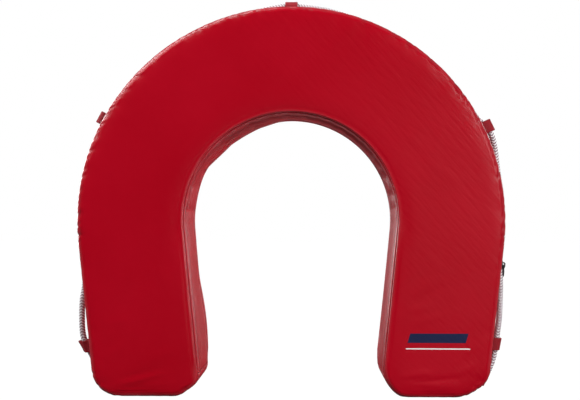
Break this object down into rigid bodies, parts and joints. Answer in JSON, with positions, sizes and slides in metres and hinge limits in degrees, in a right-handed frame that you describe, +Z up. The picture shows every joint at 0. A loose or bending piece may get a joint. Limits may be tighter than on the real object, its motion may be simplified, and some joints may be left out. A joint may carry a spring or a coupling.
{
  "type": "horseshoe lifebuoy",
  "caption": "Horseshoe lifebuoy: a closed-cell foam core in a sewn red coated-fabric cover, with webbing beckets round its outer side that carry a white grab line.",
  "frame": {"origin": "on the floor, midway between the two feet and midway through the thickness; the buoy stands upright with its crown on top", "axes": "+Z up towards the crown, -Y out of the front panel, +X across the legs, towards the leg with the zip"},
  "size_m": [0.6215, 0.11, 0.5655],
  "materials": {
    "red_coated_fabric": "smooth coated fabric, fine weave, satin",
    "grey_foam": "closed-cell foam, matt",
    "red_webbing": "woven polyester webbing",
    "red_thread": "sewing thread",
    "white_rope": "braided line",
    "white_whipping": "waxed twine",
    "black_zip_tape": "woven tape",
    "black_zip_plastic": "moulded acetal"
  },
  "bodies": {
    "buoy": {"foam_core_front": "grey_foam", "foam_core_middle": "grey_foam", "foam_core_back": "grey_foam", "front_panel": "red_coated_fabric", "back_panel": "red_coated_fabric", "inner_gusset": "red_coated_fabric", "crown_gusset": "red_coated_fabric", "left_side_gusset": "red_coated_fabric", "right_side_gusset_front": "red_coated_fabric", "right_side_gusset_back": "red_coated_fabric", "left_foot_gusset": "red_coated_fabric", "right_foot_gusset": "red_coated_fabric", "becket_crown": "red_webbing", "becket_upper_left": "red_webbing", "becket_upper_right": "red_webbing", "becket_lower_left": "red_webbing", "becket_lower_right": "red_webbing", "line_tab_left": "red_webbing", "line_tab_right": "red_webbing", "becket_crown_stitch_front": "red_thread", "becket_crown_stitch_back": "red_thread", "becket_upper_left_stitch_front": "red_thread", "becket_upper_left_stitch_back": "red_thread", "becket_upper_right_stitch_front": "red_thread", "becket_upper_right_stitch_back": "red_thread", "becket_lower_left_stitch_front": "red_thread", "becket_lower_left_stitch_back": "red_thread", "becket_lower_right_stitch_front": "red_thread", "becket_lower_right_stitch_back": "red_thread", "line_tab_left_stitch_front": "red_thread", "line_tab_left_stitch_back": "red_thread", "line_tab_right_stitch_front": "red_thread", "line_tab_right_stitch_back": "red_thread", "grab_line": "white_rope", "line_whipping_left": "white_whipping", "line_whipping_right": "white_whipping", "zip_tape_front": "black_zip_tape", "zip_tape_back": "black_zip_tape", "zip_coil": "black_zip_plastic", "zip_top_stop": "black_zip_plastic", "zip_bottom_stop": "black_zip_plastic"},
    "zip_slider": {"zip_slider": "black_zip_plastic"},
    "zip_pull": {"zip_pull": "black_zip_plastic"}
  },
  "joints": [
    {"name": "zip_slide", "type": "slide", "parent": "buoy", "child": "zip_slider", "axis": [-0.1167, 0, -0.9932], "range_m": [0, 0.125]},
    {"name": "pull_hinge", "type": "hinge", "parent": "zip_slider", "child": "zip_pull", "pos_m": [0.30106, -0.024, 0.18224], "axis": [0, -1, 0], "range_deg": [-6, 150]}
  ]
}
